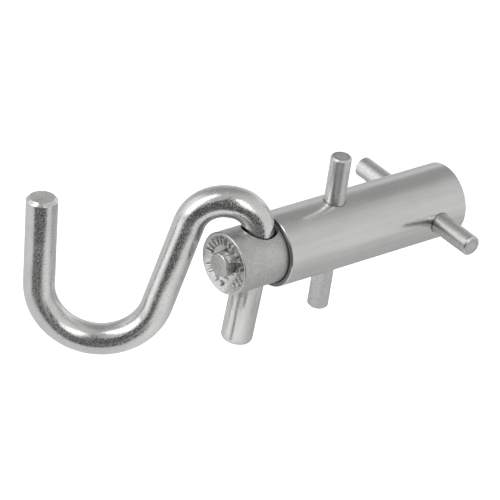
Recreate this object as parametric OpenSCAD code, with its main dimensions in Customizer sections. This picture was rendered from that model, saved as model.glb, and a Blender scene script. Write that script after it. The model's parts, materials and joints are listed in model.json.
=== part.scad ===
// Wall-socket meat hook: a steel sleeve keyed into masonry by two cross pins,
// a cast spigot held in its mouth, and a bent bar hook that swivels in the spigot.
// Millimetres. Origin: centre of the sleeve's mouth. +Z up, the sleeve runs along +Y.

/* [Sleeve] */
// Length of the sleeve, from its mouth to its back end
sleeve_len = 85; // [78:1:120]
// Outside diameter of the sleeve
sleeve_od = 28; // [28:0.5:34]
// Wall thickness of the sleeve
sleeve_wall = 1.8; // [1:0.1:1.9]
// Chamfer on the sleeve's outer end edges
sleeve_chamfer = 0.3; // [0.2:0.1:0.8]

/* [Cross pins] */
// Diameter of both cross pins
pin_d = 8; // [6:0.5:9]
// Length of both cross pins
pin_len = 65; // [50:1:80]
// Distance from the mouth to the upright front pin
front_pin_y = 29; // [25:1:32]
// How far the front pin sits above the middle of its length
front_pin_rise = 0.4; // [-2:0.1:2]
// Distance from the mouth to the level rear pin
rear_pin_y = 72; // [50:1:72]
// Gap around a pin in its holes
pin_gap = 0.1; // [0.05:0.05:0.2]
// Chamfer on the pin ends
pin_chamfer = 0.6; // [0.2:0.1:1]

/* [Spigot] */
// Diameter of the spigot
spigot_d = 24; // [22:0.5:24]
// How far the spigot's rim stands out of the sleeve
spigot_reach = 21; // [18:0.1:30]
// How far the spigot runs back inside the sleeve
spigot_tail = 40; // [38:1:48]
// Rounding of the rim around the spigot's face
rim_round = 0.5; // [0.3:0.1:1.6]
// Depth of the dish in the spigot's face
dish_depth = 1.7; // [0.5:0.1:2.4]
// Diameter of the stub at the middle of the face
stub_d = 9.2; // [4:0.2:11]
// How far the stub stands out beyond the rim
stub_reach = 2.4; // [0.5:0.1:3]

/* [Hook] */
// Diameter of the hook's bar
bar_d = 12; // [10:0.5:12]
// Distance from the shank's axis forward of the sleeve's mouth
shank_setback = 7; // [7:0.5:10]
// Lean of the shank's top towards the wall, in degrees
shank_lean = 4; // [0:0.5:4]
// Length of shank below the spigot's axis, with its rounded end
shank_drop = 36.3; // [20:0.1:60]
// Height above the spigot's axis at which the top bend starts
bend_start = 9; // [8:0.5:10]
// Radius of the first quarter of the top bend, to the middle of the bar
bend_r = 11; // [10:0.5:20]
// Radius of the rest of the top bend, to the middle of the bar
bend_far_r = 13.7; // [10:0.1:20]
// Length of the short straight between the two parts of the top bend
crest_len = 1; // [0.8:0.1:5]
// Angle of the top bend
bend_angle = 171; // [150:1:175]
// Length of the sloping bar between the bends
slope_len = 36.8; // [30:0.1:60]
// Radius of the cradle bend that carries the load, to the middle of the bar
cradle_r = 22.4; // [18:0.1:40]
// Angle of the cradle bend
cradle_angle = 164; // [140:0.5:170]
// Length of the straight tip, with its chamfered end
tip_len = 35.8; // [20:0.1:60]
// Chamfer on the tip's end
tip_chamfer = 1.2; // [0.5:0.1:2]
// Rounding of the shank's lower end
shank_round = 2; // [0.5:0.1:3]
// Gap around the shank in its bore
shank_gap = 0.08; // [0.02:0.01:0.1]
// Angle of the hook to the front, with positive to the right, in degrees
rest_swivel = -40; // [-85:0.5:85]

/* [Hidden] */
$fn = 96;
sleeve_r = sleeve_od / 2;
sleeve_bore_r = sleeve_r - sleeve_wall;
inner_chamfer = sleeve_chamfer / 2;
spigot_r = spigot_d / 2;
tail_chamfer = 1.5;
dish_r = spigot_r - 1.3 * rim_round;
dish_sphere_r = (dish_r * dish_r + dish_depth * dish_depth) / (2 * dish_depth);
stub_r = stub_d / 2;
stub_round = 0.4;
pin_r = pin_d / 2;
pin_hole_r = pin_r + pin_gap;
bar_r = bar_d / 2;
shank_bore_r = bar_r + shank_gap;
// A bend is this much thicker than the bar, and the straights run this far into it,
// so that the hook's lengths join into one solid
bend_swell = 0.05;
bend_overlap = 0.3;
first_turn = 90;
last_turn = bend_angle - first_turn;
// The bore's mouth flares just enough for the top bend to turn in it
flare_start = bend_start + 0.3;
flare_end = spigot_r + 0.5;
bend_inner_r = bend_r - bar_r - bend_swell;
flare_rise = flare_end - bend_start;
flare_r = bend_r - sqrt(bend_inner_r * bend_inner_r - flare_rise * flare_rise) + shank_gap;
flare_top = flare_end + 1;
cut = 60;

// Places its children on the shank's axis, with that axis as their Z
module at_shank() {
    translate([0, -shank_setback, 0]) rotate([-shank_lean, 0, 0]) children();
}

// Turns its children's Z to point along the sleeve, out of the wall
module facing_out() {
    rotate([90, 0, 0]) children();
}

// Outline of a round body, as radius and length, with a chamfer on both end edges
module chamfered_outline(r, len, chamfer) {
    polygon([[0, 0], [r - chamfer, 0], [r, chamfer],
             [r, len - chamfer], [r - chamfer, len], [0, len]]);
}

module sleeve() {
    color("silver")
        difference() {
            translate([0, sleeve_len, 0]) facing_out()
                rotate_extrude() chamfered_outline(sleeve_r, sleeve_len, sleeve_chamfer);
            translate([0, cut, 0]) facing_out() cylinder(h = cut + 1, r = sleeve_bore_r);
            translate([0, sleeve_len + 1, 0]) facing_out()
                cylinder(h = sleeve_len, r = sleeve_bore_r);
            mouth_chamfer();
            translate([0, sleeve_len, 0]) rotate([0, 0, 180]) mouth_chamfer();
            translate([0, front_pin_y, -cut / 2]) cylinder(h = cut, r = pin_hole_r);
            translate([-cut / 2, rear_pin_y, 0]) rotate([0, 90, 0])
                cylinder(h = cut, r = pin_hole_r);
        }
}

// Cone that breaks the inner edge of the sleeve's mouth
module mouth_chamfer() {
    translate([0, inner_chamfer, 0]) facing_out()
        cylinder(h = inner_chamfer + 1, r1 = sleeve_bore_r,
                 r2 = sleeve_bore_r + inner_chamfer + 1);
}

// Half of the spigot's lengthwise section, with its rim rounded and its face dished
module spigot_outline() {
    len = spigot_tail + spigot_reach;
    translate([0, -spigot_tail]) difference() {
        union() {
            chamfered_outline(spigot_r, len - rim_round, tail_chamfer);
            translate([0, len / 2]) square([spigot_r, len / 2 - rim_round]);
            translate([0, len / 2]) square([spigot_r - rim_round, len / 2]);
            translate([spigot_r - rim_round, len - rim_round]) circle(r = rim_round);
        }
        translate([0, len - dish_depth + dish_sphere_r]) circle(r = dish_sphere_r, $fn = 720);
    }
}

// Cylindrical stub left on the face by the casting's gate
module stub() {
    root = spigot_reach - dish_depth - 1;
    top = spigot_reach + stub_reach;
    rotate_extrude() {
        translate([0, root]) square([stub_r, top - root - stub_round]);
        translate([0, root]) square([stub_r - stub_round, top - root]);
        translate([stub_r - stub_round, top - stub_round]) circle(r = stub_round);
    }
}

// Bore for the shank, with its flared mouth
module shank_bore() {
    at_shank() {
        translate([0, 0, -cut / 2]) cylinder(h = cut, r = shank_bore_r);
        rotate_extrude()
            polygon([[0, flare_start], [shank_bore_r, flare_start], [flare_r, flare_end],
                     [flare_r, flare_top], [0, flare_top]]);
    }
}

module spigot() {
    color("darkgray")
        difference() {
            facing_out() union() {
                rotate_extrude() intersection() {
                    spigot_outline();
                    translate([0, -cut]) square([spigot_r, 2 * cut]);
                }
                stub();
            }
            shank_bore();
            translate([0, front_pin_y, -cut / 2]) cylinder(h = cut, r = pin_hole_r);
        }
}

// Round pin along Z, centred on the origin
module cross_pin() {
    translate([0, 0, -pin_len / 2])
        rotate_extrude() chamfered_outline(pin_r, pin_len, pin_chamfer);
}

module front_cross_pin() {
    color("gainsboro") translate([0, front_pin_y, front_pin_rise]) cross_pin();
}

module rear_cross_pin() {
    color("gainsboro") translate([0, rear_pin_y, 0]) rotate([0, 90, 0]) cross_pin();
}

// Straight bar along Z, with its start at the origin and its ends run into the bends
module straight_bar(len) {
    translate([0, 0, -bend_overlap]) cylinder(h = len + 2 * bend_overlap, r = bar_r);
}

// Bar bent from +Z towards -Y, with its start at the origin
module bent_bar(radius, angle) {
    translate([0, -radius, 0]) rotate([90, 0, 90])
        rotate_extrude(angle = angle)
            translate([radius, 0]) circle(r = bar_r + bend_swell);
}

// Moves its children to the far end of a bent bar, with their Z along the bar
module past_bend(radius, angle) {
    translate([0, -radius, 0]) rotate([angle, 0, 0]) translate([0, radius, 0]) children();
}

// Straight shank below the bend, with its lower end rounded
module shank() {
    straight = shank_drop + bend_start - shank_round + bend_overlap;
    translate([0, 0, -shank_drop]) {
        translate([0, 0, shank_round]) cylinder(h = straight, r = bar_r);
        rotate_extrude() {
            square([bar_r - shank_round, shank_round]);
            intersection() {
                translate([bar_r - shank_round, shank_round]) circle(r = shank_round);
                square([bar_r, shank_round]);
            }
        }
    }
}

// Straight tip with a chamfered end
module tip() {
    straight = tip_len - tip_chamfer;
    translate([0, 0, -bend_overlap]) cylinder(h = straight + bend_overlap, r = bar_r);
    translate([0, 0, straight]) cylinder(h = tip_chamfer, r1 = bar_r, r2 = bar_r - tip_chamfer);
}

// Everything past the first quarter of the top bend, down to the tip
module below_crest() {
    straight_bar(crest_len);
    translate([0, 0, crest_len]) {
        bent_bar(bend_far_r, last_turn);
        past_bend(bend_far_r, last_turn) {
            straight_bar(slope_len);
            translate([0, 0, slope_len]) mirror([0, 1, 0]) {
                bent_bar(cradle_r, cradle_angle);
                past_bend(cradle_r, cradle_angle) tip();
            }
        }
    }
}

module hook() {
    color("lightgray")
        at_shank() rotate([0, 0, rest_swivel]) {
            shank();
            translate([0, 0, bend_start]) {
                bent_bar(bend_r, first_turn);
                past_bend(bend_r, first_turn) below_crest();
            }
        }
}

sleeve();
spigot();
front_cross_pin();
rear_cross_pin();
hook();
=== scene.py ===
import json
import math

import bmesh
import bpy
from mathutils import Matrix, Vector, noise


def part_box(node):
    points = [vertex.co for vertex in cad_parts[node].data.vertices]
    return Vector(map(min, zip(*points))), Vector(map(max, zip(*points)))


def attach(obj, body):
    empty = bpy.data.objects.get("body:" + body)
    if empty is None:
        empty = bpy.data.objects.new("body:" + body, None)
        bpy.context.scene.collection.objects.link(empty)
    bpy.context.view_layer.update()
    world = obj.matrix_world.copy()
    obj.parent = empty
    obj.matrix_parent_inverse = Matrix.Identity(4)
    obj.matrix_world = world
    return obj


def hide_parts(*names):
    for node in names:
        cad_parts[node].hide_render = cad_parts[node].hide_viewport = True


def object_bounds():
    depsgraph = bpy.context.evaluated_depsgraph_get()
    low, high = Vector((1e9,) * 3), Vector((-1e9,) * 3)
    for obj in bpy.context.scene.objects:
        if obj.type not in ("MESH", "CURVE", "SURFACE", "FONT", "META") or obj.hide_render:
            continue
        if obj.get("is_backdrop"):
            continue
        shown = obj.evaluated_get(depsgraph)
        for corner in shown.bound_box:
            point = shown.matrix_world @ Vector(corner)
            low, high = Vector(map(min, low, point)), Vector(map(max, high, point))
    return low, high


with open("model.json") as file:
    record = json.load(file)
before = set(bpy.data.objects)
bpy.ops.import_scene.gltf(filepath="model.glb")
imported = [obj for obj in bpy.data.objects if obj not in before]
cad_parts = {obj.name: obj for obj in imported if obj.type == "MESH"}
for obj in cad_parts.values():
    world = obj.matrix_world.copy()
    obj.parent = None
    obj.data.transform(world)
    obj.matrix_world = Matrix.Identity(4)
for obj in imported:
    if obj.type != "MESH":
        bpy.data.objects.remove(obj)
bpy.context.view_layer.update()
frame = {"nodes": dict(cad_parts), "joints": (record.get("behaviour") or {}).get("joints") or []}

MM = 0.001

# Driving sizes in millimetres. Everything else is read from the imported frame.
BAR_R = 6.0
REST_SWIVEL = math.radians(-40)
BEND_START = 9.0
NEAR_BEND_R = 11.0
CREST_LEN = 1.0
FAR_BEND_R = 13.7
TOP_TURN = math.radians(171)
SLOPE_LEN = 36.8
CRADLE_R = 22.4
CRADLE_TURN = math.radians(164)
TIP_LEN = 35.8
TIP_CHAMFER = 1.2
SHANK_ROUND = 2.0
SHANK_GAP = 0.08
RIM_ROUND = 0.5
DISH_DEPTH = 1.7
STUB_R = 4.6
STUB_REACH = 2.4
STUB_EDGE = 0.45
# The casting's face is a little off square: its left side stands further out
FACE_SKEW = 0.06

# Camera: seen from the front right and above, rolled a little
VIEW_AZIMUTH = math.radians(47.6)
VIEW_ELEVATION = math.radians(31.298)
VIEW_ROLL = math.radians(8.619)
VIEW_DISTANCE = 1294.2 * MM
VIEW_LENS = 253.07
VIEW_AIM = Vector((-4.203, -5.331, -0.808)) * MM

FLOOR_DROP = 45 * MM


# ---------------------------------------------------------------- shader nodes

class Shader:
    """A node tree with short calls for the nodes used here."""

    def __init__(self, tree):
        self.tree = tree
        tree.nodes.clear()

    def node(self, kind, settings=None, **inputs):
        made = self.tree.nodes.new(kind)
        for key, value in (settings or {}).items():
            setattr(made, key, value)
        for key, value in inputs.items():
            self.feed(made.inputs[key.replace("_", " ")], value)
        return made

    def feed(self, socket, value):
        if isinstance(value, bpy.types.NodeSocket):
            self.tree.links.new(value, socket)
        else:
            socket.default_value = value

    def math(self, operation, a, b=0.0, c=0.0, clamp=False):
        made = self.tree.nodes.new("ShaderNodeMath")
        made.operation = operation
        made.use_clamp = clamp
        for socket, value in zip(made.inputs, (a, b, c)):
            self.feed(socket, value)
        return made.outputs[0]

    def ramp(self, value, low, high, to_low=0.0, to_high=1.0):
        made = self.node("ShaderNodeMapRange", {"interpolation_type": "SMOOTHSTEP"})
        for socket, number in zip(made.inputs, (value, low, high, to_low, to_high)):
            self.feed(socket, number)
        return made.outputs[0]

    def window(self, value, low, high, soft):
        rise = self.ramp(value, low - soft, low + soft)
        fall = self.ramp(value, high - soft, high + soft, 1.0, 0.0)
        return self.math("MULTIPLY", rise, fall)

    def mix(self, share, a, b):
        made = self.node("ShaderNodeMix", {"data_type": "FLOAT"})
        self.feed(made.inputs[0], share)
        self.feed(made.inputs[2], a)
        self.feed(made.inputs[3], b)
        return made.outputs[0]

    def stretched(self, vector, scale):
        made = self.node("ShaderNodeVectorMath", {"operation": "MULTIPLY"})
        self.feed(made.inputs[0], vector)
        made.inputs[1].default_value = scale
        return made.outputs[0]

    def noise(self, vector, detail=3.0, rough=0.5, distortion=0.0):
        made = self.node("ShaderNodeTexNoise", Vector=vector, Scale=1.0, Detail=detail,
                         Roughness=rough, Distortion=distortion)
        return made.outputs["Fac"]

    def painted_crevice_shade(self, reach, darkest):
        """Painted shade: 1 on open metal, falling to `darkest` in a corner or a gap within reach."""
        made = self.node("ShaderNodeAmbientOcclusion", {"samples": 6}, Distance=reach)
        return self.ramp(made.outputs["AO"], 0.42, 0.88, darkest, 1.0)

    def bump(self, height, distance, normal=None):
        made = self.node("ShaderNodeBump", Strength=1.0, Distance=distance, Height=height)
        if normal is not None:
            self.feed(made.inputs["Normal"], normal)
        return made.outputs["Normal"]


def new_material(name):
    material = bpy.data.materials.new(name)
    material.use_nodes = True
    return material, Shader(material.node_tree)


def finish_metal(shader, grey, roughness, normal, anisotropic=0.0, tangent=None):
    """Ends a metal's nodes with a grey tint, a roughness and a normal."""
    tint = shader.node("ShaderNodeCombineColor")
    for socket, warmth in zip(tint.inputs, (1.0, 0.995, 0.985)):
        shader.feed(socket, shader.math("MULTIPLY", grey, warmth))
    body = shader.node("ShaderNodeBsdfPrincipled", Metallic=1.0, Anisotropic=anisotropic)
    shader.feed(body.inputs["Base Color"], tint.outputs[0])
    shader.feed(body.inputs["Roughness"], roughness)
    shader.feed(body.inputs["Normal"], normal)
    if tangent is not None:
        shader.feed(body.inputs["Tangent"], tangent)
    out = shader.node("ShaderNodeOutputMaterial")
    shader.feed(out.inputs["Surface"], body.outputs[0])


def drawn_steel(name, axis, grey, roughness, line_depth, end_rings=False):
    """Round stock with fine lines drawn along an axis ("X", "Y" or "Z")."""
    material, shader = new_material(name)
    place = shader.node("ShaderNodeTexCoord").outputs["Object"]
    index = "XYZ".index(axis)

    def along(across, length):
        scale = [across / MM] * 3
        scale[index] = length / MM
        return shader.stretched(place, scale)

    fine = shader.noise(along(6.0, 0.05), detail=2.0, rough=0.6)
    medium = shader.noise(along(1.6, 0.02), detail=3.0, rough=0.6)
    broad = shader.noise(along(0.28, 0.012), detail=2.0)
    cloud = shader.noise(shader.stretched(place, [0.11 / MM] * 3), detail=4.0, rough=0.6)
    speck = shader.noise(shader.stretched(place, [1.7 / MM] * 3), detail=2.0)
    streak = shader.mix(0.5, fine, medium)
    shade = shader.ramp(shader.mix(0.35, broad, cloud), 0.3, 0.7, grey[0], grey[1])
    shade = shader.math("MULTIPLY", shade, shader.ramp(streak, 0.3, 0.7, 0.975, 1.015))
    spotty = 0.14 if end_rings else 0.01
    shade = shader.math("MULTIPLY", shade,
                        shader.ramp(speck, 0.32, 0.68, 1 - spotty, 1 + 0.6 * spotty))
    # Painted shade in corners and in the gaps between parts
    shade = shader.math("MULTIPLY", shade, shader.painted_crevice_shade(1.1 * MM, 0.3))
    rough = shader.ramp(shader.mix(0.5, cloud, medium), 0.3, 0.7, roughness[0], roughness[1])
    rough = shader.math("ADD", rough, shader.ramp(speck, 0.62, 0.75, 0.0, 0.05))
    height = streak
    facing = shader.node("ShaderNodeSeparateXYZ",
                         Vector=shader.node("ShaderNodeNewGeometry").outputs["True Normal"])
    on_end = shader.ramp(shader.math("ABSOLUTE", facing.outputs[index]), 0.8, 0.95)
    if not end_rings:
        # Sawn ends, left duller (rougher) than the drawn side; painted shade darkens their colour
        rough = shader.mix(on_end, rough, 0.5)
        shade = shader.math("MULTIPLY", shade, shader.mix(on_end, 1.0, 0.55))
    else:
        # Lathe rings on the flat ends, found by the distance from the axis
        parts = shader.node("ShaderNodeSeparateXYZ", Vector=place)
        centre = end_rings
        away = [shader.math("SUBTRACT", parts.outputs[i], centre[i])
                for i in range(3) if i != index]
        radius = shader.math("SQRT", shader.math(
            "ADD", shader.math("POWER", away[0], 2.0), shader.math("POWER", away[1], 2.0)))
        wobble = shader.math("MULTIPLY", shader.math("SUBTRACT", cloud, 0.5), 0.4 * MM)
        radius = shader.math("ADD", radius, wobble)
        rings = shader.math("SINE", shader.math("MULTIPLY", radius, math.tau / (0.8 * MM)))
        rings = shader.math("MULTIPLY_ADD", rings, 0.9, 0.5)
        height = shader.mix(on_end, streak, rings)
        rough = shader.mix(on_end, rough, 0.42)
        # One deeper ring where the saw's burr was faced off
        groove = shader.window(radius, 2.3 * MM, 2.7 * MM, 0.2 * MM)
        dull = shader.math("MULTIPLY_ADD", groove, -0.2, 0.88)
        dull = shader.math("MULTIPLY", dull, shader.ramp(rings, -0.4, 1.4, 0.9, 1.06))
        shade = shader.math("MULTIPLY", shade, shader.mix(on_end, 1.0, dull))
    normal = shader.bump(height, line_depth)
    normal = shader.bump(cloud, 0.06 * MM, normal)
    finish_metal(shader, shade, rough, normal)
    return material


def cast_steel(name):
    """Matt shot-blasted casting: fine round grain, blotches and softened edges."""
    material, shader = new_material(name)
    place = shader.node("ShaderNodeTexCoord").outputs["Object"]
    grain = shader.noise(shader.stretched(place, [1.9 / MM] * 3), detail=3.0, rough=0.6)
    coarse = shader.noise(shader.stretched(place, [0.75 / MM] * 3), detail=2.0)
    blotch = shader.noise(shader.stretched(place, [0.16 / MM] * 3), detail=3.0, rough=0.6)
    shade = shader.ramp(blotch, 0.3, 0.7, 0.54, 0.63)
    shade = shader.math("MULTIPLY", shade, shader.ramp(grain, 0.3, 0.7, 0.86, 1.1))
    # Painted shade in the corners round the marks, the stub and the bores
    shade = shader.math("MULTIPLY", shade, shader.painted_crevice_shade(0.9 * MM, 0.38))
    # The face is brighter than the blasted side
    x, y, z = shader.node("ShaderNodeSeparateXYZ", Vector=place).outputs
    radius = shader.math("SQRT", shader.math("ADD", shader.math("MULTIPLY", x, x),
                                             shader.math("MULTIPLY", z, z)))
    on_face = shader.math("MULTIPLY", shader.ramp(y, -17.9 * MM, -18.3 * MM),
                          shader.ramp(radius, 11.92 * MM, 11.6 * MM))
    facing = shader.node("ShaderNodeSeparateXYZ",
                         Vector=shader.node("ShaderNodeNewGeometry").outputs["Normal"])
    on_face = shader.math("MULTIPLY", on_face, shader.ramp(facing.outputs[1], -0.3, -0.7))
    rough = shader.mix(on_face, shader.ramp(grain, 0.3, 0.7, 0.5, 0.38),
                       shader.ramp(grain, 0.3, 0.7, 0.26, 0.16))
    shade = shader.math("MULTIPLY", shade, shader.mix(on_face, 1.0, 1.14))
    on_stub = shader.ramp(y, -22.6 * MM, -23.0 * MM)
    shade = shader.math("MULTIPLY", shade, shader.mix(on_stub, 1.0, 0.88))
    soft = shader.node("ShaderNodeBevel", {"samples": 4}, Radius=0.12 * MM)
    normal = shader.bump(shader.mix(0.35, grain, coarse), shader.mix(on_face, 0.13 * MM, 0.05 * MM),
                         soft.outputs["Normal"])
    finish_metal(shader, shade, rough, normal)
    return material


def tumbled_steel(name):
    """Bright bar with a fine tumbled orange peel. Reads the bar's own coordinates."""
    material, shader = new_material(name)
    place = shader.node("ShaderNodeAttribute", {"attribute_name": "bar_place"}).outputs["Vector"]
    peel = shader.noise(shader.stretched(place, (2.1, 2.1, 2.1)), detail=2.0, rough=0.55)
    fine = shader.noise(shader.stretched(place, (4.5, 4.5, 4.5)), detail=2.0, rough=0.6)
    lines = shader.noise(shader.stretched(place, (2.6, 2.6, 0.05)), detail=2.0, rough=0.6)
    cloud = shader.noise(shader.stretched(place, (0.12, 0.12, 0.07)), detail=4.0, rough=0.6)
    wave = shader.noise(shader.stretched(place, (0.1, 0.1, 0.045)), detail=1.0)
    dents = shader.noise(shader.stretched(place, (0.9, 0.9, 0.7)), detail=1.0)
    shade = shader.ramp(cloud, 0.3, 0.7, 0.68, 0.78)
    speckle = shader.noise(shader.stretched(place, (2.4, 2.4, 2.4)), detail=3.0, rough=0.65)
    shade = shader.math("MULTIPLY", shade, shader.ramp(speckle, 0.36, 0.64, 0.98, 1.02))
    # Painted shade where the bar enters the spigot
    shade = shader.math("MULTIPLY", shade, shader.painted_crevice_shade(1.0 * MM, 0.3))
    rough = shader.ramp(cloud, 0.3, 0.7, 0.08, 0.13)
    # The grain fades out on the shank, which is smoother
    run = shader.node("ShaderNodeSeparateXYZ", Vector=place).outputs[2]
    grain = shader.math("MULTIPLY", shader.ramp(speckle, 0.47, 0.63, 0.0, 0.37),
                        shader.ramp(run, 36, 46, 0.3, 1.0))
    rough = shader.math("ADD", rough, grain)
    # Darker, rougher patches where the shank turns in the spigot's lower edge
    patch = shader.noise(shader.stretched(place, (0.55, 0.55, 0.07)), detail=2.0, rough=0.5)
    shank_patches = shader.math("MULTIPLY", shader.window(run, 16.0, 24.0, 4.0),
                      shader.ramp(patch, 0.46, 0.66))
    shade = shader.math("MULTIPLY", shade, shader.mix(shank_patches, 1.0, 0.62))
    rough = shader.math("MULTIPLY_ADD", shank_patches, 0.12, rough)
    height = shader.mix(0.3, shader.mix(0.4, peel, fine), lines)
    normal = shader.bump(shader.mix(0.5, height, speckle), 0.05 * MM)
    normal = shader.bump(shader.ramp(dents, 0.66, 0.8, 1.0, 0.0), 0.02 * MM, normal)
    normal = shader.bump(wave, 0.35 * MM, normal)
    finish_metal(shader, shade, rough, normal)
    return material


# ---------------------------------------------------------------- mesh helpers

def add_piece(name, mesh, body, node, material):
    piece = bpy.data.objects.new(name, mesh)
    bpy.context.scene.collection.objects.link(piece)
    mesh.materials.clear()
    mesh.materials.append(material)
    mesh.polygons.foreach_set("material_index", [0] * len(mesh.polygons))
    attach(piece, body)
    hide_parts(node)
    return piece


def ring_mesh(name, rings, place=None):
    """Closed skin over rings of points; the first and last rings shrink to a fan."""
    work = bmesh.new()
    tag = work.verts.layers.float_vector.new(place[0]) if place else None
    made = []
    for i, ring in enumerate(rings):
        row = []
        for j, point in enumerate(ring):
            vert = work.verts.new(point)
            if place:
                vert[tag] = place[1][i][j]
            row.append(vert)
        made.append(row)
    count = len(made[1])
    for low, high in zip(made, made[1:]):
        for j in range(count):
            k = (j + 1) % count
            if len(low) == 1:
                work.faces.new((low[0], high[k], high[j]))
            elif len(high) == 1:
                work.faces.new((low[j], low[k], high[0]))
            else:
                work.faces.new((low[j], low[k], high[k], high[j]))
    for face in work.faces:
        face.smooth = True
    bmesh.ops.recalc_face_normals(work, faces=work.faces)
    mesh = bpy.data.meshes.new(name)
    work.to_mesh(mesh)
    work.free()
    return mesh


# ---------------------------------------------------------------- the hook

swivel = frame["joints"][0]
PIVOT = Vector(swivel["pos_m"]) / MM
SHANK_UP = Vector(swivel["axis"]).normalized()
spigot_low, spigot_high = (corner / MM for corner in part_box("spigot"))
hook_low, hook_high = (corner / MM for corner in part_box("hook"))
SPIGOT_R = spigot_high.x
SPIGOT_TAIL = spigot_high.y
STUB_TOP = -spigot_low.y
RIM_Y = STUB_TOP - STUB_REACH


def bend_heading():
    """Direction in which the top bend leaves the shank, square to the shank."""
    forward = Vector((0, -1, 0))
    forward -= forward.dot(SHANK_UP) * SHANK_UP
    forward.normalize()
    return Matrix.Rotation(REST_SWIVEL, 3, SHANK_UP) @ forward


def hook_line(step):
    """Points along the bar's middle as (point, heading angle, curvature, length)."""
    out = bend_heading()
    line = []
    state = {"at": PIVOT - shank_drop() * SHANK_UP, "angle": 0.0, "run": 0.0}

    def heading(angle):
        return math.cos(angle) * SHANK_UP + math.sin(angle) * out

    def note(curve):
        line.append((state["at"].copy(), state["angle"], curve, state["run"]))

    def straight(length):
        pieces = max(1, round(length / step))
        for _ in range(pieces):
            note(0.0)
            state["at"] += heading(state["angle"]) * (length / pieces)
            state["run"] += length / pieces

    def turn(radius, total):
        pieces = max(8, round(abs(total) * radius / step))
        part = total / pieces
        chord = 2 * radius * math.sin(abs(part) / 2)
        for _ in range(pieces):
            note(math.copysign(1 / radius, total))
            state["at"] += heading(state["angle"] + part / 2) * chord
            state["angle"] += part
            state["run"] += radius * abs(part)

    straight(shank_drop() + BEND_START)
    turn(NEAR_BEND_R, math.pi / 2)
    straight(CREST_LEN)
    turn(FAR_BEND_R, TOP_TURN - math.pi / 2)
    straight(SLOPE_LEN)
    turn(CRADLE_R, -CRADLE_TURN)
    straight(TIP_LEN)
    note(0.0)
    return line, out


def shank_drop():
    """Length of shank below the pivot, a fixed number: the joint's height above the hook's box
    less what the cradle hangs below it."""
    return 36.3


def bar_end_radius(from_start, to_end):
    """Radius of the bar near its two ends: a rounded shank and a chamfered tip."""
    if from_start < SHANK_ROUND:
        inner = SHANK_ROUND - from_start
        return BAR_R - SHANK_ROUND + math.sqrt(max(0.0, SHANK_ROUND ** 2 - inner ** 2))
    if to_end < TIP_CHAMFER:
        return BAR_R - TIP_CHAMFER + max(0.0, to_end - 0.06)
    return BAR_R


def build_hook(segments=72, step=0.6):
    line, out = hook_line(step)
    side = SHANK_UP.cross(out)
    total = line[-1][3]
    # Extra sections where the ends are rounded
    sections = []
    for at, angle, curve, run in line:
        if SHANK_ROUND < run < total - TIP_CHAMFER - 0.4:
            sections.append((at, angle, curve, run))
    first, last = line[0], line[-1]
    start_dir = SHANK_UP
    end_dir = math.cos(last[1]) * SHANK_UP + math.sin(last[1]) * out
    head = [(first[0] + start_dir * s, first[1], 0.0, s)
            for s in (SHANK_ROUND * (1 - math.cos(math.radians(a))) for a in range(0, 91, 9))]
    tail = [(last[0] - end_dir * s, last[1], 0.0, total - s)
            for s in (TIP_CHAMFER + 0.4, TIP_CHAMFER + 0.1, TIP_CHAMFER - 0.04, 0.8, 0.4, 0.06, 0.0)]
    rings, places = [], []
    first_at = first[0]
    rings.append([first_at * MM])
    places.append([(0, 0, 0)])
    for share in (0.35, 0.7):
        rings.append(ring_points(first_at, start_dir, out, side, (BAR_R - SHANK_ROUND) * share,
                                 first[1], segments))
        places.append(place_points((BAR_R - SHANK_ROUND) * share, 0.0, segments))
    for at, angle, curve, run in head + sections + tail:
        radius = bar_end_radius(run, total - run)
        # A hand bent bar is never quite even: it swells and thins by hundredths
        uneven = 0.035 * noise.noise(Vector((run * 0.09, 3.1, 7.7)))
        uneven += 0.012 * noise.noise(Vector((run * 0.5, 9.2, 1.4)))
        if abs(at.dot(SHANK_UP)) < SPIGOT_R + 2 and run < 70:
            uneven = min(uneven, 0.0)
        radius = min(radius, radius + uneven - 0.02)
        rings.append(ring_points(at, None, out, side, radius, angle, segments, curve))
        places.append(place_points(radius, run, segments))
    for share in (0.7, 0.35):
        radius = (BAR_R - TIP_CHAMFER - 0.06) * share
        rings.append(ring_points(last[0], None, out, side, radius, last[1], segments))
        places.append(place_points(radius, total, segments))
    rings.append([last[0] * MM])
    places.append([(0, 0, total)])
    mesh = ring_mesh("hook_bar", rings, ("bar_place", places))
    mesh.set_sharp_from_angle(angle=math.radians(28))
    return mesh


def ring_points(at, _, out, side, radius, angle, segments, curve=0.0):
    across = math.cos(angle) * out - math.sin(angle) * SHANK_UP
    points = []
    for j in range(segments):
        turn = math.tau * j / segments
        # Bending presses the bar a little oval, thinner across the plane of the bend
        squeeze = 1 - 0.10 * abs(curve) * (1.0 if curve else 0.0) * abs(math.cos(turn))
        points.append((at + radius * squeeze * math.cos(turn) * across
                       + radius * math.sin(turn) * side) * MM)
    return points


def place_points(radius, run, segments):
    return [(radius * math.cos(math.tau * j / segments), radius * math.sin(math.tau * j / segments), run)
            for j in range(segments)]


# ---------------------------------------------------------------- the spigot

def smooth(low, high, value):
    t = min(1.0, max(0.0, (value - low) / (high - low)))
    return t * t * (3 - 2 * t)


def bar_mark(x, z, at, spin, length, width):
    """Share of a raised bar's full height at a point, with soft edges."""
    dx, dz = x - at[0], z - at[1]
    along = abs(dx * math.cos(spin) + dz * math.sin(spin)) - length / 2
    across = abs(-dx * math.sin(spin) + dz * math.cos(spin)) - width / 2
    return 1 - smooth(-0.06, 0.13, max(along, across))


def ring_marks():
    """Plain raised bars and dots round the face: (centre, spin, length, width)."""
    marks = []
    radius = 8.6
    for degrees in (174, 161, 144, 131, 114, 101, 84, 71, -12, -26, -136, -149):
        turn = math.radians(degrees)
        marks.append(((radius * math.cos(turn), radius * math.sin(turn)), turn, 2.8, 0.9))
    for degrees in (52, 36, 14, -46, -92, -112):
        turn = math.radians(degrees)
        marks.append(((radius * math.cos(turn), radius * math.sin(turn)), turn, 1.4, 1.4))
    return marks


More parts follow.
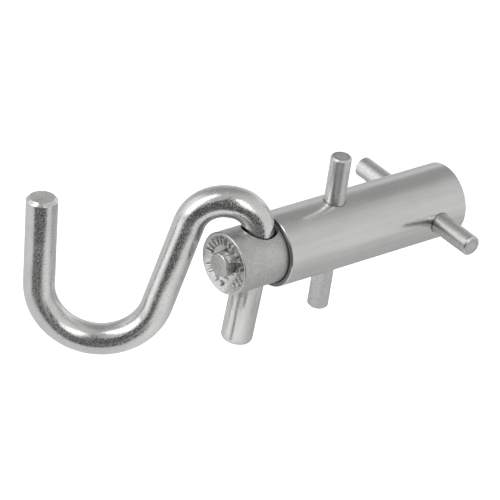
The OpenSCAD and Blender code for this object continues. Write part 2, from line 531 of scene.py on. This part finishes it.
def face_height(x, z, marks):
    """How far the spigot's face stands out (towards -Y) of its rim, at x and z."""
    away = math.hypot(x, z)
    dish_edge = SPIGOT_R - 1.3 * RIM_ROUND
    height = 0.0
    if away < dish_edge:
        height -= DISH_DEPTH * (1 - (away / dish_edge) ** 2)
    height += 0.05 * noise.noise(Vector((x * 0.35, 0.0, z * 0.35)))
    height += 0.02 * noise.noise(Vector((x * 1.3, 4.0, z * 1.3)))
    # Side lobe and hollow left beside the stub
    hollow = math.hypot(x - 6.0, (z - 1.8) / 1.1)
    height -= 0.5 * (1 - smooth(0.2, 2.1, hollow))
    lobe = math.hypot(x - 3.1, z - 3.9)
    height += (1.6 - height) * (1 - smooth(1.5, 2.0, lobe))
    swell = math.hypot(x + 0.6, z - 7.0)
    height += 0.16 * (1 - smooth(0.8, 2.6, swell))
    if away > STUB_R + 0.9:
        mark = max((bar_mark(x, z, *m) for m in marks
                    if (x - m[0][0]) ** 2 + (z - m[0][1]) ** 2 < 5), default=0.0)
        height += 0.95 * mark
    # The stub, with a rounded edge and, on its lower side, a soft root
    if away > STUB_R + 0.005:
        root = 1 - smooth(STUB_R, STUB_R + 2.0, away)
        return height + 1.1 * root * smooth(-0.05, -0.6, z / away)
    top = STUB_REACH - 0.03 + 0.03 * noise.noise(Vector((x * 0.6, 2.0, z * 0.6)))
    inner = min(STUB_EDGE, max(0.0, away - STUB_R + STUB_EDGE))
    return top - STUB_EDGE + math.sqrt(STUB_EDGE ** 2 - inner ** 2)


def spigot_skin():
    """Skin of the spigot before its bores are cut: face grid, rim, side and tail."""
    segments = 400
    marks = ring_marks()
    crest = SPIGOT_R - RIM_ROUND
    rings = [[Vector((0, -(RIM_Y + face_height(0, 0, marks)), 0)) * MM]]
    flat = STUB_R - STUB_EDGE
    radii = [flat * i / 20 for i in range(1, 21)]
    radii += [flat + STUB_EDGE * math.sin(math.radians(bend)) for bend in range(15, 91, 15)]
    radii += [STUB_R + step for step in (0.01, 0.08, 0.15, 0.25)]
    radii += [STUB_R + 0.25 + (crest - STUB_R - 0.25) * i / 60 for i in range(1, 61)]
    for away in radii:
        ring = []
        for j in range(segments):
            turn = math.tau * j / segments
            x, z = away * math.cos(turn), away * math.sin(turn)
            height = face_height(x, z, marks)
            # The stub is a little out of round
            near = 1 - smooth(0.5, 1.5, abs(away - STUB_R))
            swell = 1 + 0.02 * near * noise.noise(Vector((x * 0.25, 9.0, z * 0.25)))
            ring.append(Vector((x * swell, -(RIM_Y + height), z * swell)) * MM)
        rings.append(ring)
    # Rim: rounded at the face, with a crisper corner where it meets the side
    for bend in (15, 30, 45, 60, 75, 90):
        away = crest + RIM_ROUND * math.sin(math.radians(bend))
        back = RIM_ROUND * (1 - math.cos(math.radians(bend)))
        rings.append(side_ring(away, -(RIM_Y - back), segments))
    for y in (-20, -18, -15, -12, -6, 0, 10, 22, 34, SPIGOT_TAIL - 1.5):
        rings.append(side_ring(SPIGOT_R - 0.01, y, segments))
    rings.append(side_ring(SPIGOT_R - 1.5, SPIGOT_TAIL, segments))
    rings.append(side_ring(4, SPIGOT_TAIL, segments))
    rings.append([Vector((0, SPIGOT_TAIL, 0)) * MM])
    for ring in rings:
        for point in ring:
            point.y += FACE_SKEW * point.x * smooth(-12 * MM, -20 * MM, point.y)
    return ring_mesh("spigot_casting", rings)


def side_ring(radius, y, segments):
    return [Vector((radius * math.cos(math.tau * j / segments), y,
                    radius * math.sin(math.tau * j / segments))) * MM
            for j in range(segments)]


def turned_cutter(name, centre, axis, profile, segments=160):
    """Solid of revolution about an axis, for cutting: profile of (radius, height)."""
    frame_z = axis.normalized()
    frame_x = frame_z.orthogonal().normalized()
    frame_y = frame_z.cross(frame_x)
    rings = [[(centre + profile[0][1] * frame_z) * MM]]
    for radius, height in profile:
        rings.append([(centre + height * frame_z
                       + radius * math.cos(math.tau * j / segments) * frame_x
                       + radius * math.sin(math.tau * j / segments) * frame_y) * MM
                      for j in range(segments)])
    rings.append([(centre + profile[-1][1] * frame_z) * MM])
    mesh = ring_mesh(name, rings)
    cutter = bpy.data.objects.new(name, mesh)
    bpy.context.scene.collection.objects.link(cutter)
    return cutter


def cut_away(mesh, cutters):
    """Mesh less the cutters, with the cutters removed from the scene."""
    work = bpy.data.objects.new("work", mesh)
    bpy.context.scene.collection.objects.link(work)
    for cutter in cutters:
        cut = work.modifiers.new("cut", "BOOLEAN")
        cut.operation = "DIFFERENCE"
        cut.solver = "MANIFOLD"
        cut.object = cutter
    view = bpy.context.evaluated_depsgraph_get()
    result = bpy.data.meshes.new_from_object(work.evaluated_get(view))
    result.name = mesh.name
    for done in [work] + cutters:
        old = done.data
        bpy.data.objects.remove(done)
        bpy.data.meshes.remove(old)
    return result


def flare_profile():
    """Bore with its flared mouth, just wide enough for the top bend to turn in."""
    bore = BAR_R + SHANK_GAP
    top = SPIGOT_R + 0.5
    inner = NEAR_BEND_R - BAR_R - 0.05
    wide = NEAR_BEND_R - math.sqrt(inner ** 2 - (top - BEND_START) ** 2) + SHANK_GAP
    profile = [(bore, -30), (bore, BEND_START + 0.3)]
    for i in range(1, 9):
        share = i / 8
        profile.append((bore + (wide - bore) * share,
                        BEND_START + 0.3 + (top - BEND_START - 0.3) * share))
    profile.append((wide + 0.3, top + 1))
    return profile


def round_normals(mesh, radius):
    """Gives the long side of a turned mesh its exact round normals."""
    normals = [tuple(n.vector) for n in mesh.corner_normals]
    for face in mesh.polygons:
        centre = face.center
        flat = Vector((centre.x, 0, centre.z))
        if flat.length < (radius - 0.35) * MM or abs(face.normal.y) > 0.2:
            continue
        if face.normal.dot(flat.normalized()) < 0.95:
            continue
        for loop in face.loop_indices:
            at = mesh.vertices[mesh.loops[loop].vertex_index].co
            normals[loop] = tuple(Vector((at.x, 0, at.z)).normalized())
    mesh.normals_split_custom_set(normals)


def build_spigot():
    mesh = spigot_skin()
    pin_low, pin_high = (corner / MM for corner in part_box("front_cross_pin"))
    pin_mid = (pin_low + pin_high) / 2
    bore = turned_cutter("bore", PIVOT, SHANK_UP, flare_profile())
    pin_hole = turned_cutter("pin_hole", Vector((pin_mid.x, pin_mid.y, 0)), Vector((0, 0, 1)),
                             [(pin_high.x + 0.1, -30), (pin_high.x + 0.1, 30)])
    mesh = cut_away(mesh, [bore, pin_hole])
    for face in mesh.polygons:
        face.use_smooth = True
    mesh.set_sharp_from_angle(angle=math.radians(38))
    round_normals(mesh, SPIGOT_R)
    return mesh


# ---------------------------------------------------------------- put together

pin_steel_front = drawn_steel("pin_steel_front", "Z", (0.68, 0.76), (0.3, 0.42), 0.012 * MM,
                              (0.0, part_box("front_cross_pin")[0].y / 2
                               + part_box("front_cross_pin")[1].y / 2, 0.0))
pin_steel_rear = drawn_steel("pin_steel_rear", "X", (0.68, 0.76), (0.3, 0.42), 0.012 * MM,
                             (0.0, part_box("rear_cross_pin")[0].y / 2
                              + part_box("rear_cross_pin")[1].y / 2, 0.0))
sleeve_steel = drawn_steel("sleeve_steel", "Y", (0.63, 0.73), (0.2, 0.28), 0.004 * MM)


def dress(node, material):
    data = frame["nodes"][node].data
    data.materials.clear()
    data.materials.append(material)


dress("sleeve", sleeve_steel)
dress("front_cross_pin", pin_steel_front)
dress("rear_cross_pin", pin_steel_rear)
dress("spigot", sleeve_steel)
dress("hook", sleeve_steel)

add_piece("hook_bar", build_hook(), "hook", "hook", tumbled_steel("hook_bar_steel"))
add_piece("spigot_casting", build_spigot(), "socket", "spigot",
          cast_steel("spigot_cast_steel"))


# ---------------------------------------------------------------- floor, light, camera

def add_floor():
    low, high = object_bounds()
    height = low[2] - FLOOR_DROP
    work = bmesh.new()
    half, cells = 6.0, 12
    bmesh.ops.create_grid(work, x_segments=cells, y_segments=cells, size=half)
    mesh = bpy.data.meshes.new("floor")
    work.to_mesh(mesh)
    work.free()
    floor = bpy.data.objects.new("floor", mesh)
    floor.location = (0, 0, height)
    bpy.context.scene.collection.objects.link(floor)
    material, shader = new_material("pale_floor")
    paint = shader.node("ShaderNodeBsdfDiffuse")
    paint.inputs["Color"].default_value = (0.93, 0.93, 0.93, 1)
    out = shader.node("ShaderNodeOutputMaterial")
    shader.feed(out.inputs["Surface"], paint.outputs[0])
    mesh.materials.append(material)
    # The metal mirrors the studio below, drawn in the world, and not the floor
    floor.visible_glossy = False
    floor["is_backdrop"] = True


def add_world():
    """Soft studio, by azimuth (0 in front, 90 to the right) and elevation in degrees."""
    world = bpy.data.worlds.new("studio")
    bpy.context.scene.world = world
    world.use_nodes = True
    shader = Shader(world.node_tree)
    ray = shader.node("ShaderNodeTexCoord").outputs["Generated"]
    parts = shader.node("ShaderNodeSeparateXYZ", Vector=ray)
    x, y, z = parts.outputs
    degree = 180 / math.pi
    azimuth = shader.math("MULTIPLY", shader.math("ARCTAN2", x, shader.math("MULTIPLY", y, -1.0)), degree)
    elevation = shader.math("MULTIPLY", shader.math("ARCSINE", z), degree)

    def box(low_az, high_az, low_el, high_el, soft):
        return shader.math("MULTIPLY", shader.window(azimuth, low_az, high_az, soft),
                           shader.window(elevation, low_el, high_el, soft))

    def lobe(centre_az, centre_el, inner, outer):
        flat = math.cos(math.radians(centre_el))
        made = shader.node("ShaderNodeVectorMath", {"operation": "DOT_PRODUCT"})
        shader.feed(made.inputs[0], ray)
        made.inputs[1].default_value = (flat * math.sin(math.radians(centre_az)),
                                        -flat * math.cos(math.radians(centre_az)),
                                        math.sin(math.radians(centre_el)))
        return shader.ramp(made.outputs["Value"], math.cos(math.radians(outer)),
                           math.cos(math.radians(inner)))

    # Bright floor below, a dimmer room above, lighter at the back right
    glow = shader.ramp(elevation, -40, 5, 0.62, 0.56)
    glow = shader.math("MULTIPLY", glow, shader.ramp(elevation, 20, 70, 1.0, 0.72))
    glow = shader.math("ADD", glow, shader.math("MULTIPLY", lobe(138, 30, 35, 80), 0.12))
    glow = shader.math("MULTIPLY", glow,
                       shader.math("MULTIPLY_ADD", lobe(-125, 38, 15, 55), -0.36, 1.0))
    glow = shader.math("ADD", glow, shader.math("MULTIPLY", lobe(-44, 24, 8, 36), 0.3))
    glow = shader.math("ADD", glow, shader.math("MULTIPLY", box(-52, -8, -25, -6, 6), 0.45))
    # The dark side of the room, behind the camera, tapering upwards
    reach = shader.ramp(elevation, -5, 50, 45.5, 7)
    off = shader.math("ABSOLUTE", shader.math("SUBTRACT", azimuth, 50.0))
    shade = shader.ramp(shader.math("SUBTRACT", off, reach), -5, 5, 1.0, 0.0)
    shade = shader.math("MULTIPLY", shade, shader.ramp(elevation, -37, -31))
    shade = shader.math("MULTIPLY", shade, shader.ramp(elevation, 55, 69, 1.0, 0.0))
    glow = shader.mix(shade, glow, 0.09)
    # Soft boxes left and right of the camera
    left = shader.math("MULTIPLY", box(-26, 2, 6, 66, 6), 1.9)
    right = shader.math("MULTIPLY", box(64, 86, 10, 54, 6), 1.4)
    glow = shader.math("ADD", glow, shader.math("ADD", left, right))
    back = shader.math("MULTIPLY", box(-185, -108, 3, 22, 6), 0.3)
    glow = shader.math("MULTIPLY", shader.math("ADD", glow, back), 1.12)
    path = shader.node("ShaderNodeLightPath")
    seen = shader.mix(path.outputs["Is Camera Ray"], glow, 1.0)
    lamp = shader.node("ShaderNodeBackground", Color=(1, 1, 1, 1), Strength=seen)
    out = shader.node("ShaderNodeOutputWorld")
    shader.feed(out.inputs["Surface"], lamp.outputs[0])


def add_top_light():
    """Wide overhead panel that whitens the floor; the metal doesn't mirror it."""
    data = bpy.data.lights.new("overhead", "AREA")
    data.shape = "DISK"
    data.size = 2.2
    data.energy = 34
    panel = bpy.data.objects.new("overhead", data)
    panel.location = (0, 0, 1.7)
    panel.visible_glossy = False
    panel.visible_camera = False
    bpy.context.scene.collection.objects.link(panel)


def add_card():
    """White card under the object that only the metal mirrors: light near, dark away."""
    low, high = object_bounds()
    work = bmesh.new()
    bmesh.ops.create_grid(work, x_segments=4, y_segments=4, size=0.4)
    mesh = bpy.data.meshes.new("card")
    work.to_mesh(mesh)
    work.free()
    card = bpy.data.objects.new("card", mesh)
    card.location = (0, 0, low[2] - 4 * MM)
    bpy.context.scene.collection.objects.link(card)
    material, shader = new_material("white_card")
    parts = shader.node("ShaderNodeSeparateXYZ",
                        Vector=shader.stretched(shader.node("ShaderNodeTexCoord").outputs["Object"],
                                                [1 / MM] * 3))
    x, y = parts.outputs[0], parts.outputs[1]

    def away(centre_x, centre_y):
        dx = shader.math("POWER", shader.math("SUBTRACT", x, centre_x), 2.0)
        dy = shader.math("POWER", shader.math("SUBTRACT", y, centre_y), 2.0)
        return shader.math("SQRT", shader.math("ADD", dx, dy))

    near = shader.math("MAXIMUM", shader.ramp(away(20, -2), 75, 106, 1.0, 0.0),
                       shader.ramp(away(-20, 120), 100, 160, 1.0, 0.0))
    # The dark of the room, mirrored in the card before the cradle
    near = shader.math("MULTIPLY", near, shader.ramp(away(-12, -72), 24, 38))
    # Painted shadow: the object's own soft shadow painted into the card's glow, and a dimmer floor behind
    # it
    past_end = shader.math("MAXIMUM", shader.math("SUBTRACT", 10.0, y),
                           shader.math("SUBTRACT", y, 110.0))
    past_end = shader.math("POWER", shader.math("MAXIMUM", past_end, 0.0), 2.0)
    off_line = shader.math("SQRT", shader.math("ADD", shader.math("MULTIPLY", x, x), past_end))
    painted_shadow_glow = shader.math("MULTIPLY", shader.ramp(off_line, 0, 55, 0.8, 1.0),
                        shader.ramp(y, -45, 30, 0.86, 0.6))
    painted_shadow_glow = shader.math("MULTIPLY", painted_shadow_glow, shader.ramp(x, -35, 5, 0.82, 1.0))
    clear = shader.node("ShaderNodeBsdfTransparent")
    glow = shader.node("ShaderNodeEmission", Strength=painted_shadow_glow)
    blend = shader.node("ShaderNodeMixShader")
    shader.feed(blend.inputs[0], near)
    shader.feed(blend.inputs[1], clear.outputs[0])
    shader.feed(blend.inputs[2], glow.outputs[0])
    out = shader.node("ShaderNodeOutputMaterial")
    shader.feed(out.inputs["Surface"], blend.outputs[0])
    mesh.materials.append(material)
    card.visible_camera = False
    card.visible_diffuse = False
    card.visible_shadow = False
    card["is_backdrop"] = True


def add_camera():
    back = Vector((math.sin(VIEW_AZIMUTH) * math.cos(VIEW_ELEVATION),
                   -math.cos(VIEW_AZIMUTH) * math.cos(VIEW_ELEVATION),
                   math.sin(VIEW_ELEVATION)))
    right = Vector((0, 0, 1)).cross(back).normalized()
    up = back.cross(right)
    turned_right = math.cos(VIEW_ROLL) * right + math.sin(VIEW_ROLL) * up
    turned_up = math.cos(VIEW_ROLL) * up - math.sin(VIEW_ROLL) * right
    place = Matrix((turned_right, turned_up, back)).transposed().to_4x4()
    place.translation = VIEW_AIM + VIEW_DISTANCE * back
    data = bpy.data.cameras.new("camera")
    data.lens = VIEW_LENS
    data.sensor_width = 36
    data.clip_end = 20
    camera = bpy.data.objects.new("camera", data)
    camera.matrix_world = place
    bpy.context.scene.collection.objects.link(camera)
    bpy.context.scene.camera = camera


add_floor()
add_card()
add_world()
add_top_light()
add_camera()
bpy.context.scene.view_settings.view_transform = "Standard"
